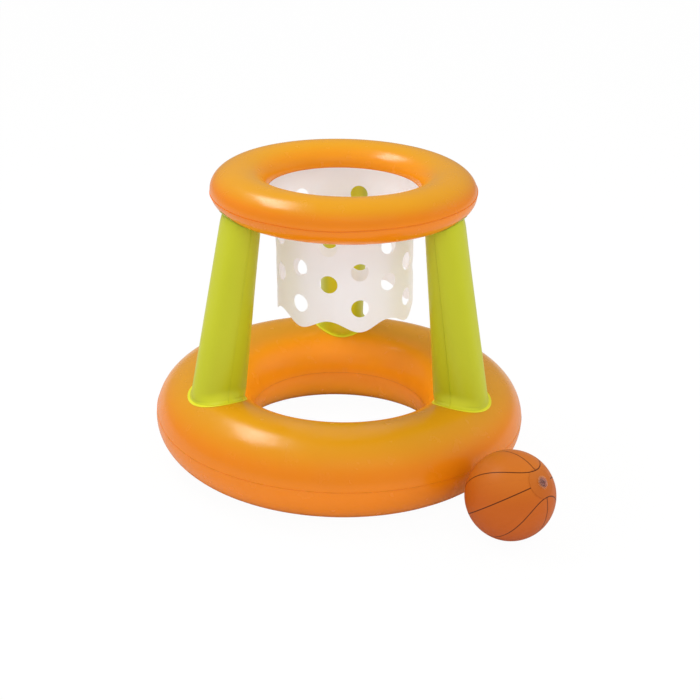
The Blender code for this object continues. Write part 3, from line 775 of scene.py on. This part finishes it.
# Ball film by facing, as painted light: lighter and yellower on top.
BALL_PAINTED_LIGHT = ((-1.0, (0.51, 0.099, 0.009)), (0.1, (0.52, 0.108, 0.006)), (1.0, (0.59, 0.160, 0.012)))
INK = (0.090, 0.018, 0.002)
COLLAR = ((0.70, 0.30, 0.12), (0.85, 0.50, 0.32))
# Clear valve vinyl: partly its own purplish tint, partly painted reflection in the dark streaks and pale
# spots that a fine cloud makes of it.
CLEAR_TINT_AND_GLINTS = ((0.15, 0.03, 0.07), (0.76, 0.36, 0.26))


# Materials


class Shade:
    """A material's node tree, with short ways to add nodes."""

    def __init__(self, name):
        self.material = bpy.data.materials.new(name)
        self.material.use_nodes = True
        self.tree = self.material.node_tree
        self.shader = self.tree.nodes["Principled BSDF"]
        self.output = self.tree.nodes["Material Output"]

    def node(self, kind, inputs=(), **settings):
        node = self.tree.nodes.new(kind)
        for key, value in settings.items():
            setattr(node, key, value)
        for key, value in dict(inputs).items():
            self.put(node.inputs[key], value)
        return node

    def put(self, socket, value):
        """Give a socket a value, or link it to another socket."""
        if isinstance(value, bpy.types.NodeSocket):
            self.tree.links.new(value, socket)
        else:
            socket.default_value = value

    def math(self, operation, *values):
        return self.node("ShaderNodeMath", dict(enumerate(values)), operation=operation).outputs[0]

    def vector(self, operation, *values, out="Vector"):
        return self.node("ShaderNodeVectorMath", dict(enumerate(values)), operation=operation).outputs[out]

    def span(self, value, low, high, to_low=0.0, to_high=1.0, soft=False):
        inputs = {"Value": value, "From Min": low, "From Max": high, "To Min": to_low, "To Max": to_high}
        kind = "SMOOTHSTEP" if soft else "LINEAR"
        return self.node("ShaderNodeMapRange", inputs, interpolation_type=kind).outputs[0]

    def noise(self, scale, detail=2.0):
        spot = self.node("ShaderNodeTexCoord").outputs["Object"]
        inputs = {"Vector": spot, "Scale": scale, "Detail": detail, "Roughness": 0.5}
        return self.node("ShaderNodeTexNoise", inputs).outputs["Fac"]

    def mix(self, share, a, b, blend="MIX"):
        node = self.node("ShaderNodeMix", data_type="RGBA", blend_type=blend)
        self.put(node.inputs["Factor"], share)
        for key, value in (("A", a), ("B", b)):
            socket = next(s for s in node.inputs if s.name == key and s.type == "RGBA")
            self.put(socket, value if isinstance(value, bpy.types.NodeSocket) else (*value, 1.0))
        return next(s for s in node.outputs if s.type == "RGBA")

    def painted_light_by_facing(self, stops):
        """A colour that follows how far a face looks up, as stops of (upward share, colour): light and shade
        painted by facing.
        """
        normal = self.node("ShaderNodeNewGeometry").outputs["Normal"]
        up = self.node("ShaderNodeSeparateXYZ", {"Vector": normal}).outputs["Z"]
        ramp = self.node("ShaderNodeValToRGB", {"Fac": self.span(up, -1.0, 1.0)})
        ramp.color_ramp.interpolation = "EASE"
        points = ramp.color_ramp.elements
        while len(points) < len(stops):
            points.new(0.5)
        for point, (share, colour) in zip(points, stops):
            point.position = (share + 1) / 2
            point.color = (*colour, 1.0)
        return ramp.outputs["Color"]

    def inner_light_mask(self, low, high):
        """How far a face looks at the hoop's axis, from 0 at the share low to 1 at the share high: the mask
        of the painted light on inner sides.
        """
        geometry = self.node("ShaderNodeNewGeometry")
        away = self.vector("SUBTRACT", geometry.outputs["Position"], AXIS)
        level = self.vector("MULTIPLY", away, (1.0, 1.0, 0.0))
        outward = self.vector("NORMALIZE", level)
        facing = self.vector("DOT_PRODUCT", outward, geometry.outputs["Normal"], out="Value")
        return self.span(self.math("MULTIPLY", facing, -1.0), low, high, soft=True)

    def finish(self, colour, roughness, gloss=0.3, ripple=0.04, ripple_scale=26.0, through=0.0):
        """Set the Principled shader, with faint ripples, and mix in light that comes through the film."""
        cloud = self.noise(scale=9.0, detail=3.0)
        shade = self.span(cloud, 0.0, 1.0, to_low=0.955, to_high=1.045)
        grey = self.node("ShaderNodeCombineColor", {0: shade, 1: shade, 2: shade}).outputs[0]
        colour = self.mix(1.0, colour, grey, blend="MULTIPLY")
        self.put(self.shader.inputs["Base Color"], colour)
        self.put(self.shader.inputs["Specular IOR Level"], gloss)
        wear = self.noise(scale=34.0, detail=4.0)
        polish = self.span(wear, 0.3, 0.7, to_low=roughness - 0.035, to_high=roughness + 0.045)
        self.put(self.shader.inputs["Roughness"], polish)
        ripples = self.noise(ripple_scale)
        bump = self.node("ShaderNodeBump", {"Height": ripples, "Strength": ripple, "Distance": 0.01})
        self.put(self.shader.inputs["Normal"], bump.outputs[0])
        if through:
            glow = self.node("ShaderNodeBsdfTranslucent", {"Color": colour}).outputs[0]
            inputs = {0: through, 1: self.shader.outputs[0], 2: glow}
            self.put(self.output.inputs["Surface"], self.node("ShaderNodeMixShader", inputs).outputs[0])
        return self.material


def orange_vinyl(name, inner):
    """Orange film with light and shade painted by facing, and the painted-light stops inner where it looks at
    the hoop's axis.
    """
    shade = Shade(name)
    facing = shade.inner_light_mask(low=0.25, high=0.85)
    colour = shade.mix(facing, shade.painted_light_by_facing(ORANGE_PAINTED_LIGHT), shade.painted_light_by_facing(inner))
    return shade.finish(colour, roughness=0.24, gloss=0.37)


def welded_vinyl(name, colours, scale):
    """Film pressed flat in a weld, in two colours that a cloud mixes; the feet's lighter lime is a painted
    glow.
    """
    shade = Shade(name)
    return shade.finish(shade.mix(shade.noise(scale), *colours), roughness=0.3)


def lime_vinyl():
    shade = Shade("lime_film")
    # light and shade painted by facing, and painted light where the film looks at the hoop's axis
    facing = shade.inner_light_mask(low=0.45, high=0.95)
    return shade.finish(shade.mix(facing, shade.painted_light_by_facing(LIME_PAINTED_LIGHT), LIME_INNER_PAINTED_LIGHT), roughness=0.36, ripple=0.05)


def frosted_vinyl():
    shade = Shade("frosted_film")
    cloud = shade.mix(shade.noise(scale=16.0, detail=4.0), *FROSTED)
    return shade.finish(cloud, roughness=0.5, gloss=0.5, ripple=0.05, ripple_scale=34.0, through=0.45)


def ball_lines(shade):
    """How much ink lies at each place: the common pattern of a basketball, drawn round the valve's axis."""
    spot = shade.node("ShaderNodeTexCoord").outputs["Object"]
    unit = shade.vector("NORMALIZE", shade.vector("SUBTRACT", spot, BALL_CENTRE))
    roll = Matrix.Rotation(BALL_ROLL, 3, BALL_AXES[2])
    down, x, z = (shade.vector("DOT_PRODUCT", unit, roll @ axis, out="Value") for axis in BALL_AXES)
    y = shade.math("MULTIPLY", down, -1.0)
    square = shade.math("MULTIPLY", x, x)

    def curve(sign, middle, bend):
        """The distance from a curve of the pattern, and whether a place lies beyond it."""
        height = shade.math("MULTIPLY", y, sign)
        rise = shade.math("SUBTRACT", height, middle)
        over = shade.math("SUBTRACT", rise, shade.math("MULTIPLY", square, bend))
        slope = shade.math("MULTIPLY", square, 4 * bend * bend)
        lean = shade.math("SUBTRACT", height, shade.math("MULTIPLY", square, 2 * bend))
        steep = shade.math("ADD", slope, shade.math("SUBTRACT", 1.0, shade.math("MULTIPLY", lean, lean)))
        distance = shade.math("DIVIDE", shade.math("ABSOLUTE", over), shade.math("SQRT", steep))
        return distance, shade.math("GREATER_THAN", over, 0.0)

    high, above = curve(1.0, *UPPER_CURVE)
    low, below = curve(-1.0, *LOWER_CURVE)
    beyond = shade.math("MAXIMUM", above, below)
    level = shade.math("ABSOLUTE", y)
    upright = shade.math("ADD", shade.math("ABSOLUTE", x), shade.math("SUBTRACT", 1.0, beyond))
    pole = shade.math("GREATER_THAN", shade.math("ABSOLUTE", z), math.cos(POLE_CLEAR))
    level = shade.math("ADD", level, pole)
    nearest = shade.math("MINIMUM", shade.math("MINIMUM", high, low), shade.math("MINIMUM", level, upright))
    return shade.span(nearest, *INK_EDGE, to_low=1.0, to_high=0.0, soft=True)


def ball_vinyl(name, share):
    """The ball's printed film, with light painted by facing so that it is lighter on top, of which share sets
    how bright its red and green are.
    """
    shade = Shade(name)
    stops = [(up, (red * share, green * share, blue)) for up, (red, green, blue) in BALL_PAINTED_LIGHT]
    colour = shade.painted_light_by_facing(stops)
    colour = shade.mix(ball_lines(shade), colour, INK)
    return shade.finish(colour, roughness=0.42, gloss=0.2, ripple=0.03)


def clear_vinyl(name, alpha, colours):
    shade = Shade(name)
    shade.shader.inputs["Alpha"].default_value = alpha
    # a fine cloud mixes two tints; on the clear valves its streaks and spots are partly painted reflection
    return shade.finish(shade.mix(shade.noise(scale=160.0), *colours), roughness=0.12, gloss=0.9, ripple=0.03)


# Light, floor and camera

LIGHT_TARGET = Vector((0.0, 0.0, 0.3))
LIGHT_COLOUR = (1.0, 0.98, 0.95)
FLOOR_SIZE = 6.0
FLOOR_DROP = 0.0002
FLOOR_GREYS = ((0.93, 0.93, 0.93), (0.94, 0.94, 0.94))
FLOOR_DIMMED = 0.4  # share that is taken from it where glossy films mirror it
FLOOR_WHITE = 0.97  # share of plain white in it, as the camera sees it
CAMERA_LENS = 74.21
CAMERA_PLACE = Vector((0.00491, -2.37012, 1.2122))
CAMERA_RIGHT = Vector((0.99974, 0.00894, 0.02100))
CAMERA_UP = Vector((-0.02283, 0.39165, 0.91983))


def add_world():
    """A plain white background, that lights the films a little warm and shows only faintly in them."""
    world = bpy.data.worlds.new("studio")
    bpy.context.scene.world = world
    world.use_nodes = True
    tree = world.node_tree
    tree.nodes.remove(tree.nodes["Background"])
    path = tree.nodes.new("ShaderNodeLightPath")

    def background(colour, strength):
        node = tree.nodes.new("ShaderNodeBackground")
        node.inputs["Color"].default_value = (*colour, 1.0)
        node.inputs["Strength"].default_value = strength
        return node.outputs[0]

    def choose(ray, yes, no):
        node = tree.nodes.new("ShaderNodeMixShader")
        for socket, value in zip(node.inputs, (path.outputs[ray], no, yes)):
            tree.links.new(value, socket)
        return node.outputs[0]

    lit = background((1.0, 0.99, 0.975), strength=0.85)
    mirrored = background((1.0, 1.0, 1.0), strength=0.26)
    seen = background((1.0, 1.0, 1.0), strength=1.0)
    unseen = choose("Is Glossy Ray", mirrored, lit)
    tree.links.new(choose("Is Camera Ray", seen, unseen), tree.nodes["World Output"].inputs["Surface"])


def add_softbox(name, azimuth, elevation, distance, size, power, mirrored):
    """A rectangular lamp that looks at LIGHT_TARGET from an azimuth and an elevation in degrees."""
    a, e = math.radians(azimuth), math.radians(elevation)
    away = Vector((math.cos(a) * math.cos(e), math.sin(a) * math.cos(e), math.sin(e)))
    data = bpy.data.lights.new(name, "AREA")
    data.shape = "RECTANGLE"
    data.size, data.size_y = size
    data.energy = power
    data.color = LIGHT_COLOUR
    obj = bpy.data.objects.new(name, data)
    bpy.context.scene.collection.objects.link(obj)
    obj.location = LIGHT_TARGET + away * distance
    obj.rotation_euler = (-away).to_track_quat("-Z", "Y").to_euler()
    obj.visible_glossy = mirrored


def add_floor():
    """A plain white floor that keeps the object's shadow, softened where the camera sees it."""
    mesh = bpy.data.meshes.new("floor")
    corners = [(x * FLOOR_SIZE, y * FLOOR_SIZE, 0) for x, y in ((-1, -1), (1, -1), (1, 1), (-1, 1))]
    mesh.from_pydata(corners, [], [(0, 1, 2, 3)])
    floor = link("floor", mesh, Matrix.Translation((0, 0, -FLOOR_DROP)))
    shade = Shade("floor")
    shade.shader.inputs["Roughness"].default_value = 0.9
    shade.shader.inputs["Specular IOR Level"].default_value = 0.0
    colour = shade.mix(shade.noise(scale=3.0), *FLOOR_GREYS)
    shade.put(shade.shader.inputs["Base Color"], colour)
    path = shade.node("ShaderNodeLightPath")
    dark = shade.node("ShaderNodeEmission", {"Strength": 0.0}).outputs[0]
    white = shade.node("ShaderNodeEmission", {"Strength": 1.0}).outputs[0]
    mirrored = shade.math("MULTIPLY", path.outputs["Is Glossy Ray"], FLOOR_DIMMED)
    lit = shade.node("ShaderNodeMixShader", {0: mirrored, 1: shade.shader.outputs[0], 2: dark}).outputs[0]
    seen = shade.math("MULTIPLY", path.outputs["Is Camera Ray"], FLOOR_WHITE)
    mixed = shade.node("ShaderNodeMixShader", {0: seen, 1: lit, 2: white})
    shade.put(shade.output.inputs["Surface"], mixed.outputs[0])
    mesh.materials.append(shade.material)
    floor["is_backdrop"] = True


def add_camera():
    data = bpy.data.cameras.new("camera")
    data.sensor_width = 36.0
    data.lens = CAMERA_LENS
    camera = bpy.data.objects.new("camera", data)
    bpy.context.scene.collection.objects.link(camera)
    back = CAMERA_RIGHT.cross(CAMERA_UP)
    camera.matrix_world = frame_of(CAMERA_PLACE, (CAMERA_RIGHT, CAMERA_UP, back))
    bpy.context.scene.camera = camera


# The whole


def dress(obj, node, body, slot, *materials):
    """Put a fine piece in place of its CAD node."""
    obj.data.materials.clear()
    for material in materials:
        obj.data.materials.append(material)
    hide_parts(node)
    if body:
        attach(obj, body)


def mark_lips(obj, ring, lip_width):
    """Give the flat weld of a ring's skin its own material."""
    middle, height, half_width, half_height = ring
    for face in obj.data.polygons:
        centre = face.center - AXIS
        across = (math.hypot(centre.x, centre.y) - middle) / half_width
        up = (centre.z - height) / half_height
        if math.hypot(across, up) > 1 + LIP_MARK * lip_width / half_width:
            face.material_index = 1


def top_slip(turn):
    """The angle by which the top ring's outer weld wanders above its middle, at each turn.

    It is low at the left and high at the right.
    """
    lean, shift = TOP_LEAN
    return lean * np.sin(turn + shift) + TOP_WANDER * waves(turn, TOP_WANDER_WAVES)


def base_slip(turn):
    """The same for the base ring: a little above its middle, and more so at the left."""
    hump, place, power = BASE_HUMP
    return BASE_RISE + hump * np.maximum(np.cos(turn - place), 0) ** power


def port_place(azimuth):
    """The frame of a leg's air passage, on the base ring's crown."""
    place = Matrix.Translation((WELD[0], 0.0, FOOT_HEIGHT))
    return Matrix.Translation(AXIS) @ Matrix.Rotation(math.radians(azimuth), 4, "Z") @ place


def add_rings(oranges, weld):
    rings = {"base": (BASE_RING, BASE_SEGMENTS, base_slip), "top": (TOP_RING, TOP_SEGMENTS, top_slip)}
    for ring_name, (ring, segments, slip) in rings.items():
        lip_width = SHOWN_LIP[ring_name]
        for side_name, side in (("upper", 1), ("lower", -1)):
            node = f"{ring_name}_ring_{side_name}_skin"
            obj = ring_film(f"{node}_vinyl", ring, side, segments, lip_width, slip)
            dress(obj, node, None, "orange_vinyl", oranges[ring_name], weld)
            mark_lips(obj, ring, lip_width)
            if side > 0:
                pins = [pin(HOLE_RADIUS, VALVES[ring_name])]
                if ring_name == "base":
                    pins += [pin(PORT_RADIUS, port_place(azimuth)) for azimuth in LEG_AZIMUTHS.values()]
                cut(obj, pins)
            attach(obj, "hoop")


def add_legs(lime, rim):
    for number, (leg, azimuth) in enumerate(LEG_AZIMUTHS.items()):
        for panel, side in (("outer", 1), ("inner", -1)):
            node = f"{leg}_leg_{panel}_panel"
            obj = leg_film(f"{node}_vinyl", azimuth, side, LEG_NUMBER_STEP * number + side)
            dress(obj, node, "hoop", "lime_vinyl", lime)
        foot, head = f"{leg}_leg_foot_patch", f"{leg}_leg_head_patch"
        foot_rim = SEAM_LIP + PATCH_RIM
        obj = patch_film(f"{foot}_vinyl", azimuth, BASE_RING, 1, WELD, PORT_RADIUS, foot_rim, PATCH_BEAD)
        # the foot patch takes the lighter lime, a painted glow
        dress(obj, foot, "hoop", "lime_vinyl", rim)
        obj = patch_film(f"{head}_vinyl", azimuth, TOP_RING, -1, HEAD, 0.0, SEAM_LIP, 0.0)
        dress(obj, head, "hoop", "lime_vinyl", lime)


def add_net(frosted):
    obj = net_film("net_sheet_vinyl")
    dress(obj, "net_sheet", "hoop", "frosted_vinyl", frosted)


def add_ball(printed, plain):
    matrix = frame_of(BALL_CENTRE, BALL_AXES)
    for number in range(BALL_GORES):
        node = f"ball_gore_{number + 1}"
        dress(gore_film(f"{node}_vinyl", number, matrix), node, "ball", "ball_vinyl", printed)
    front = ball_patch("ball_valve_patch_vinyl", HOLE_RADIUS, matrix)
    back = ball_patch("ball_end_patch_vinyl", 0.0, matrix @ Matrix.Rotation(math.pi, 4, "X"))
    dress(front, "ball_valve_patch", "ball", "ball_vinyl", plain)
    dress(back, "ball_end_patch", "ball", "ball_vinyl", plain)


def add_valves(collar, clear):
    for valve, matrix in VALVES.items():
        carrier = "ball" if valve == "ball" else "hoop"
        bodies = {"collar": carrier, "stem": f"{valve}_stem", "stopper": f"{valve}_stopper",
                  "strap": None, "flap": f"{valve}_flap"}
        for piece, body in bodies.items():
            obj = valve_piece(valve, piece)
            material = collar if piece == "collar" else clear
            dress(obj, f"{valve}_valve_{piece}", body, "clear_vinyl", material)
            if piece == "strap":
                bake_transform(obj)


def write_sizes():
    boxes = {"cad": CAD_BOX, "visual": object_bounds()}
    boxes = {name: [list(corner) for corner in box] for name, box in boxes.items()}


bpy.context.scene.view_settings.view_transform = "Standard"
add_camera()
add_world()
add_floor()
add_softbox("key_softbox", 160.0, 59.0, distance=2.4, size=(1.4, 0.6), power=28.0, mirrored=True)
add_softbox("fill_softbox", -76.0, 48.0, distance=3.0, size=(2.4, 1.4), power=17.0, mirrored=False)
add_softbox("side_softbox", 15.0, 24.0, distance=3.0, size=(2.4, 1.4), power=15.0, mirrored=False)
oranges = {"base": orange_vinyl("base_film", BASE_INNER_PAINTED_LIGHT), "top": orange_vinyl("top_film", TOP_INNER_PAINTED_LIGHT)}
add_rings(oranges, welded_vinyl("orange_weld", ORANGE_WELD, scale=60.0))
add_legs(lime_vinyl(), welded_vinyl("lime_rim", LIME_RIM_PAINTED_GLOW, scale=40.0))
add_net(frosted_vinyl())
add_ball(ball_vinyl("ball_film", share=0.96), ball_vinyl("ball_patch_film", share=0.88))
add_valves(clear_vinyl("collar_film", alpha=0.14, colours=COLLAR),
           clear_vinyl("clear_film", alpha=0.26, colours=CLEAR_TINT_AND_GLINTS))
write_sizes()
